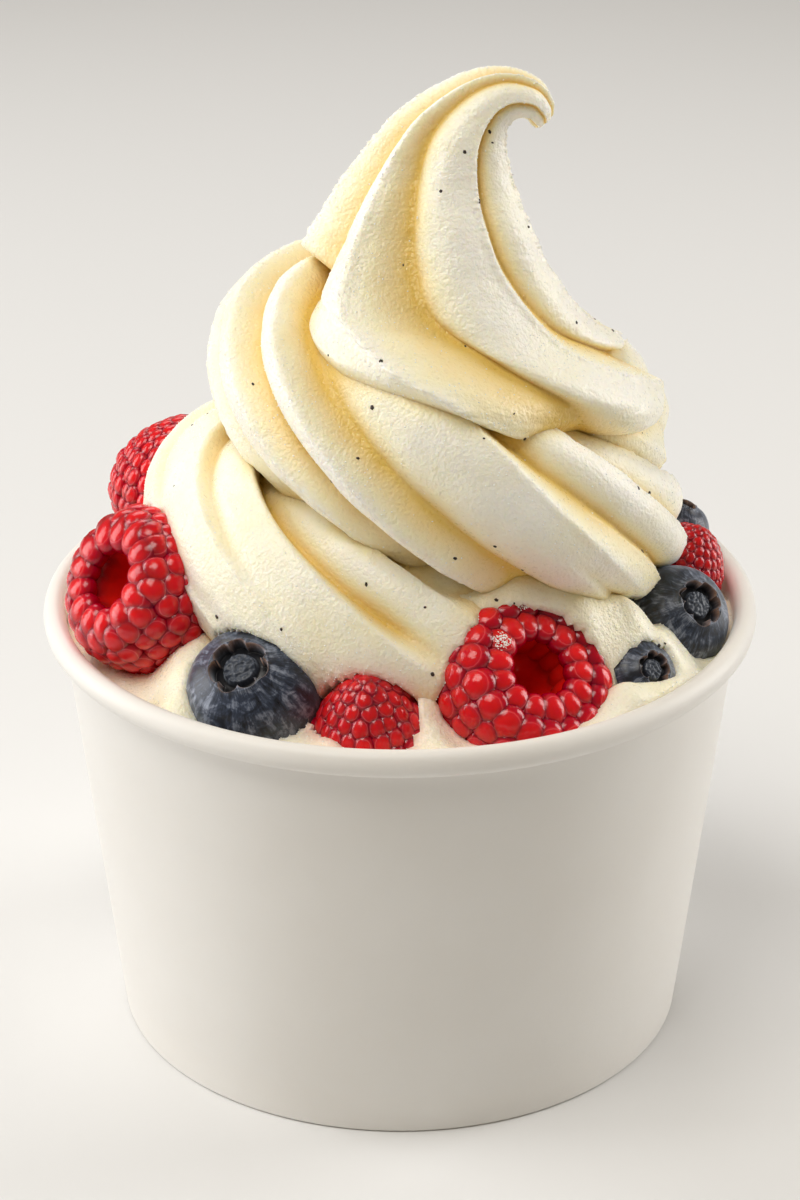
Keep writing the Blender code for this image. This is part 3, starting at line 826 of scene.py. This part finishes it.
def raspberry(name, x, y, z, radius, length, axis, turn, crowd, mouth, narrowing, fineness):
    shape = bmesh.new()
    layers = [shape.verts.layers.float.new(word) for word in ("rise", "tint", "inside")]
    # Flesh behind the drupelets: a thimble with its open end at +Z
    loops = []
    for share, height in FLESH_OUTLINE:
        loop = []
        share *= 1.0 - narrowing * max(0.0, -height)
        wide = radius * share
        for k in range(FLESH_STEPS):
            angle = tau * k / FLESH_STEPS
            vert = shape.verts.new(Vector((wide * cos(angle), wide * sin(angle), length * height)) * MM)
            vert[layers[0]] = 0.35
            vert[layers[1]] = 0.5
            loop.append(vert)
        loops.append(loop)
    for lower, upper in zip(loops, loops[1:]):
        for k in range(FLESH_STEPS):
            after = (k + 1) % FLESH_STEPS
            shape.faces.new((lower[k], lower[after], upper[after], upper[k]))
    for vert in sum(loops[-HOLLOW_RINGS:], []):
        vert[layers[2]] = 1.0
    shape.faces.new(list(reversed(loops[0])))
    shape.faces.new(loops[-1])
    for row, (share, height, faces, drawn, count) in enumerate(DRUPELET_ROWS):
        slimmer = 1.0 - narrowing * max(0.0, -height)
        count = max(1, round(count * crowd * slimmer))
        if row < 2:
            share *= mouth
        share *= slimmer
        across = pi * radius * max(share, 0.13) / count * BEAD_OVERLAP
        deep = across * BEAD_DEPTH
        lift = radians(faces)
        raised = Vector((0.0, 0.0, length * height))
        for k in range(count):
            angle = tau * (k + 0.5 * (row % 2)) / count + radians(turn) + 0.10 * (chance.random() - 0.5)
            level = Vector((cos(angle), sin(angle), 0.0))
            around = Vector((-sin(angle), cos(angle), 0.0))
            outward = level * cos(lift) + Vector((0.0, 0.0, 1.0)) * sin(lift)
            size = 1.0 + 0.10 * (chance.random() - 0.5)
            half = [across * size, max(across * drawn, BEAD_LEAST * length) * size, deep * size]
            if row == 0:
                half[2] *= 0.45
            if count == 1:
                half = [TIP_BEAD * radius] * 3
            centre = level * radius * (share + 0.03 * (chance.random() - 0.5)) + raised
            centre -= outward * half[2] * (0.1 if row == 0 else BEAD_SUNK)
            tint, inside = float(chance.random()), 1.0 if row == 0 else 0.0
            add_drupelet(shape, layers, centre, outward, around, half, tint, inside, fineness)
    bmesh.ops.recalc_face_normals(shape, faces=shape.faces)
    facing = Vector(axis).to_track_quat("Z", "Y").to_matrix().to_4x4()
    place = Matrix.Translation(Vector((x, y, z)) * MM) @ facing
    bmesh.ops.transform(shape, matrix=place, verts=shape.verts)
    mesh = bpy.data.meshes.new(name)
    shape.to_mesh(mesh)
    shape.free()
    mesh.shade_smooth()
    piece = bpy.data.objects.new(name, mesh)
    scene.collection.objects.link(piece)
    return piece


# Painted shade and highlight: each bead is painted dark in the seam round it as shade,
# with a painted pale highlight where it turns up out of the seam and painted brighter
# on top. No two are quite as ripe as each other
raspberry_flesh, tree, flesh = new_finish("raspberry_flesh")
blotch = noise_through(tree, 420.0, 3.0)
waver = worked_out(tree, "MULTIPLY_ADD", blotch, 0.12, mask_on(tree, "rise"))
reds_and_painted_light = (
    (0.0, (0.34, 0.0, 0.018)),
    (0.60, (0.54, 0.002, 0.020)),
    (0.665, (0.70, 0.02, 0.04)),
    (0.70, (0.84, 0.09, 0.11)),
    (0.735, (0.74, 0.014, 0.032)),
    (0.88, (0.84, 0.012, 0.016)),
    (1.0, (0.78, 0.008, 0.020)),
)
# Painted seam shade, pale rim highlight and brighter top, read from each bead's rise
skin_and_painted_light = tones(tree, worked_out(tree, "SUBTRACT", waver, 0.06), reds_and_painted_light)
ripeness = tones(tree, mask_on(tree, "tint"), ((0.0, (0.82, 0.7, 0.8)), (1.0, (1.0, 1.0, 0.85))))
values = {"Factor": 1.0, 6: skin_and_painted_light, 7: ripeness}
ripe = add_node(tree, "Mix", values, data_type="RGBA", blend_type="MULTIPLY").outputs[2]
set_sockets(tree, flesh, {
    "Base Color": laid_over(tree, mask_on(tree, "inside"), (0.82, 0.012, 0.008), ripe),
    "Normal": grained(tree, 1300.0, 3.0, 0.5, 0.4, 0.00015)["Normal"],
    "Roughness": 0.17,
    "IOR": 1.42,
    "Coat Weight": 0.15,
    "Coat Roughness": 0.08,
    "Subsurface Weight": 0.65,
    "Subsurface Radius": (1.0, 0.12, 0.08),
    "Subsurface Scale": 0.003,
})
for number, row in enumerate(RASPBERRIES, 1):
    fineness = 3 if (number in (1, 4)) else 2
    berry = raspberry("raspberry_%d_fruit" % number, *row, fineness)
    berry.data.materials.append(raspberry_flesh)
    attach(berry, "root")
    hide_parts("raspberry_%d" % number)


# ================================================================ blueberries
# Firm blueberries with the grey bloom still on them. The dried calyx stands round
# a sunken disc as a crown of dark scallops with pale torn tips; the scallops' pockets are
# painted near black, the calyx's own dark colour deepened with painted shade.

BALL_FLATNESS = 0.93
CROWN_OUTER = 0.43
CROWN_INNER = 0.25
SCALLOPS = 7
PEEL_STEPS = 168
# Angles from the crown's middle at which the skin has rings, closest over the scallops
POLARS = [*np.linspace(0.004, 0.30, 24), *np.linspace(0.315, 0.52, 34), *np.linspace(0.55, pi - 0.02, 52)]


def inside_of(limit, share, softness):
    """1 well inside a limit and 0 well outside it."""
    return 1.0 / (1.0 + exp(max(-40.0, min(40.0, (share - limit) / softness))))


def crown_depth(share, angle, turn):
    """How far the crown is sunk at a distance from the axis, and its three masks."""
    petal = SCALLOPS * (angle + radians(turn)) / tau
    petal += 0.12 * sin(angle * 2 + turn) + 0.07 * sin(angle * 5 + 2 * turn)
    bite = sqrt(max(0.0, 1.0 - (2.0 * (petal % 1.0) - 1.0) ** 2))
    lip = CROWN_OUTER * (0.74 + 0.26 * bite) * (1.0 + 0.04 * sin(3 * angle + turn))
    edge = inside_of(lip, share, 0.005)
    middle = inside_of(CROWN_INNER, share, 0.006)
    ring = exp(-(((share - CROWN_INNER * 0.93) / 0.015) ** 2))
    pucker = noise.noise(Vector((share * 14.0 * cos(angle), share * 14.0 * sin(angle), turn)))
    disc = 0.16 - 0.012 * ring + 0.035 * pucker
    depth = edge * (middle * disc + (1.0 - middle) * 0.25)
    dry = exp(-(((share - lip - 0.012) / 0.010) ** 2)) * (0.35 + 0.65 * (1.0 - bite) ** 0.7)
    return depth, dry, edge * (1.0 - middle), edge * middle


def blueberry(name, x, y, z, radius, axis, turn):
    shape = bmesh.new()
    layers = {word: shape.verts.layers.float.new(word) for word in ("tip", "pit_shade", "disc")}
    brush = shape.verts.layers.float_vector.new("brush")
    loops = []
    for polar in POLARS:
        loop = []
        for k in range(PEEL_STEPS):
            angle = tau * k / PEEL_STEPS
            share = sin(polar)
            depth, tip, pit_shade, disc = crown_depth(share, angle, turn) if polar < 1.0 else (0.0, 0.0, 0.0, 0.0)
            squeeze = 1.0 - 0.05 * exp(-(((polar - 0.62) / 0.16) ** 2))
            lip = 0.022 * exp(-(((share - CROWN_OUTER - 0.015) / 0.02) ** 2)) * (1.0 if polar < 1.2 else 0.0)
            lip *= 0.8 + 0.3 * sin(SCALLOPS * angle + turn)
            height = BALL_FLATNESS * (cos(polar) * squeeze) + lip - depth
            unround = 1.0 + 0.012 * sin(2 * angle + turn) + 0.008 * sin(3 * angle)
            point = Vector((share * cos(angle) * unround, share * sin(angle) * unround, height)) * radius
            point += point.normalized() * 0.05 * noise.noise(point * 0.5 + Vector((x, y, z)))
            vert = shape.verts.new(point * MM)
            vert[layers["tip"]], vert[layers["pit_shade"]], vert[layers["disc"]] = tip, pit_shade, disc
            vert[brush] = Vector((5.0 * cos(angle), 5.0 * sin(angle), 1.1 * polar + 3.0 * x))
            loop.append(vert)
        loops.append(loop)
    for lower, upper in zip(loops, loops[1:]):
        for k in range(PEEL_STEPS):
            after = (k + 1) % PEEL_STEPS
            shape.faces.new((lower[k], upper[k], upper[after], lower[after]))
    shape.faces.new(loops[0])
    shape.faces.new(list(reversed(loops[-1])))
    bmesh.ops.recalc_face_normals(shape, faces=shape.faces)
    facing = Vector(axis).to_track_quat("Z", "Y").to_matrix().to_4x4()
    place = Matrix.Translation(Vector((x, y, z)) * MM) @ facing
    bmesh.ops.transform(shape, matrix=place, verts=shape.verts)
    mesh = bpy.data.meshes.new(name)
    shape.to_mesh(mesh)
    shape.free()
    mesh.shade_smooth()
    piece = bpy.data.objects.new(name, mesh)
    scene.collection.objects.link(piece)
    return piece


# Grey bloom over blue-black skin, rubbed off in strokes that run down from the crown
blueberry_skin, tree, peel = new_finish("blueberry_skin")
brush = add_node(tree, "Attribute", {}, attribute_name="brush").outputs["Vector"]
values = {"Vector": brush, "Scale": 1.7, "Detail": 8.0, "Roughness": 0.68}
strokes = add_node(tree, "TexNoise", values).outputs["Fac"]
clouds = noise_through(tree, 520.0, 6.0, 0.62, 1.2)
rubbed = worked_out(tree, "MULTIPLY", worked_out(tree, "ADD", strokes, clouds), 0.5)
blues = ((0.42, (0.005, 0.007, 0.014)), (0.51, (0.030, 0.042, 0.074)), (0.64, (0.29, 0.325, 0.41)))
coat = laid_over(tree, mask_on(tree, "disc"), (0.022, 0.030, 0.048), tones(tree, rubbed, blues))
# Near black in the crown's pockets: the calyx's dark colour with painted shade
coat = laid_over(tree, mask_on(tree, "pit_shade"), (0.004, 0.004, 0.006), coat)
coat = laid_over(tree, mask_on(tree, "tip"), (0.44, 0.25, 0.16), coat)
dust = add_node(tree, "Bump", {"Height": strokes, "Strength": 0.25, "Distance": 0.00012})
set_sockets(tree, peel, {
    "Base Color": coat,
    "Roughness": spread(tree, rubbed, 0.35, 0.65, 0.26, 0.52),
    "Normal": dust.outputs["Normal"],
    "Sheen Weight": 0.5,
    "Sheen Roughness": 0.4,
    "Sheen Tint": (0.75, 0.85, 1.0, 1.0),
})
for number, row in enumerate(BLUEBERRIES, 1):
    berry = blueberry("blueberry_%d_fruit" % number, *row)
    berry.data.materials.append(blueberry_skin)
    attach(berry, "root")
    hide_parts("blueberry_%d" % number)


# ================================================================ vanilla and ice
# Flecks of vanilla seed lie in the yogurt's surface. Grains of ice have frozen out
# along its crests and noses, and there is a dab of frost on the front raspberry.

spots, facings, crests, hollows, shares, skins = [], [], [], [], [], []
for piece in swirl:
    start = sum(len(block) for block in spots)
    count = len(piece.data.vertices)
    for store, source, name, width in (
        (spots, piece.data.vertices, "co", 3),
        (facings, piece.data.vertex_normals, "vector", 3),
        (crests, piece.data.attributes["crest"].data, "value", 1),
        (hollows, piece.data.attributes["hollow"].data, "value", 1),
    ):
        block = np.empty(count * width, dtype=np.float32)
        source.foreach_get(name, block)
        store.append(block.reshape(count, width))
    share = np.zeros(count)
    for face in piece.data.polygons:
        for corner in face.vertices:
            share[corner] += face.area
        skins.append([start + corner for corner in face.vertices])
    shares.append(share)
spots, facings, crests = np.concatenate(spots), np.concatenate(facings), np.concatenate(crests)
hollows, shares = np.concatenate(hollows), np.concatenate(shares)
surface = BVHTree.FromPolygons(spots.tolist(), skins)


def laid_on(weight, wanted, lowest):
    """Pick places out on the surface, more of them where the weight is high."""
    weight = np.where(spots[:, 2] > lowest * MM, weight * shares, 0.0)
    picks = chance.choice(len(spots), size=wanted * 2, replace=False, p=weight / weight.sum())
    places = []
    for pick in picks:
        point, outward = Vector(spots[pick]), Vector(facings[pick])
        if surface.ray_cast(point + outward * 0.4 * MM, outward, 12 * MM)[0] is None:
            places.append((point, outward))
    return places[:wanted]


# A crystal of eight faces, the shape of one grain of ice
CRYSTAL = ((1, 0, 0), (0, 1, 0), (-1, 0, 0), (0, -1, 0), (0, 0, 1), (0, 0, -1))
CRYSTAL_SIDES = [(k, (k + 1) % 4, 4) for k in range(4)] + [((k + 1) % 4, k, 5) for k in range(4)]


def rounded_grain():
    """Points and sides of a small ball."""
    shape = bmesh.new()
    bmesh.ops.create_icosphere(shape, subdivisions=1, radius=1.0)
    points = [vert.co[:] for vert in shape.verts]
    sides = [[vert.index for vert in face.verts] for face in shape.faces]
    shape.free()
    return points, sides


def scattered(name, places, grain, sides, sizes, flatness, sunk):
    """One mesh of many small grains, each turned at random and lying on its place."""
    grain, sides = np.array(grain, dtype=float), np.array(sides)
    points, faces = [], []
    for point, outward in places:
        spin = Matrix.Rotation(chance.uniform(0.0, tau), 3, "Z")
        lie = np.array(outward.to_track_quat("Z", "Y").to_matrix() @ spin)
        size = chance.uniform(*sizes) * MM
        stretch = np.array((1.0, chance.uniform(0.6, 1.0), flatness))
        faces.append(sides + len(points) * len(grain))
        points.append((grain * stretch * size) @ lie.T + np.array(point) - np.array(outward) * size * sunk)
    mesh = bpy.data.meshes.new(name)
    mesh.from_pydata(np.concatenate(points).tolist(), [], np.concatenate(faces).tolist())
    mesh.update()
    piece = bpy.data.objects.new(name, mesh)
    scene.collection.objects.link(piece)
    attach(piece, "root")
    return piece


FLECKS = 100
FLECKS_ABOVE = 64.0
ICE_GRAINS = 15000
ICE_ABOVE = 58.0
FROST_GRAINS = 700
nose = np.clip(1.0 - 1.4 * hollows[:, 0], 0.0, 1.0)
fleck_places = laid_on(np.ones(len(spots)), FLECKS, FLECKS_ABOVE)
flecks = scattered("vanilla_flecks", fleck_places, *rounded_grain(), (0.16, 0.40), 0.45, 0.1)
drifts = np.array([max(0.0, noise.noise(Vector(spot) * 90.0) + 0.15) for spot in spots])
ice_places = laid_on(crests[:, 0] * 0.9 + nose * drifts * 0.7 + 0.02, ICE_GRAINS, ICE_ABOVE)
front_berry = bpy.data.objects["raspberry_4_fruit"].data
front_sides = [face.vertices[:] for face in front_berry.polygons]
front_skin = BVHTree.FromPolygons([vert.co for vert in front_berry.vertices], front_sides)
heart = Vector(RASPBERRIES[3][:3]) * MM
# Directions from the middle of the berry in which a dab of frost lies, and its reach
for way, reach in (((0.8, 1.6, 11.3), 1.3), ((-1.9, -4.7, 10.0), 1.5)):
    way = Vector(way).normalized()
    middle = front_skin.ray_cast(heart + way * 0.03, -way)[0]
    near = [face for face in front_berry.polygons if (face.center - middle).length < reach * MM]
    for pick in chance.integers(0, len(near), size=FROST_GRAINS):
        corners = [front_berry.vertices[corner].co for corner in near[pick].vertices]
        a, b = sorted(chance.random(2))
        point = corners[0] * a + corners[1] * (b - a) + corners[2] * (1.0 - b)
        if chance.random() > (point - middle).length / (reach * MM):
            ice_places.append((point, near[pick].normal.copy()))
ice_grains = scattered("ice_grains", ice_places, CRYSTAL, CRYSTAL_SIDES, (0.05, 0.16), 0.8, 0.0)

# Seed is nearly black, and ice is clear with a little milk in it
vanilla, tree, husk = new_finish("vanilla_seed")
browns = ((0.0, (0.006, 0.004, 0.003)), (1.0, (0.05, 0.03, 0.018)))
set_sockets(tree, husk, {"Base Color": tones(tree, noise_through(tree, 3000.0), browns), "Roughness": 0.5})
flecks.data.materials.append(vanilla)

frost, tree, clear = new_finish("frost")
milks = ((0.0, (0.96, 0.95, 0.90)), (1.0, (1.0, 1.0, 0.98)))
milk = tones(tree, noise_through(tree, 2000.0), milks)
set_sockets(tree, clear, {"Base Color": milk, "Roughness": 0.12, "IOR": 1.31})
ice_grains.data.materials.append(frost)
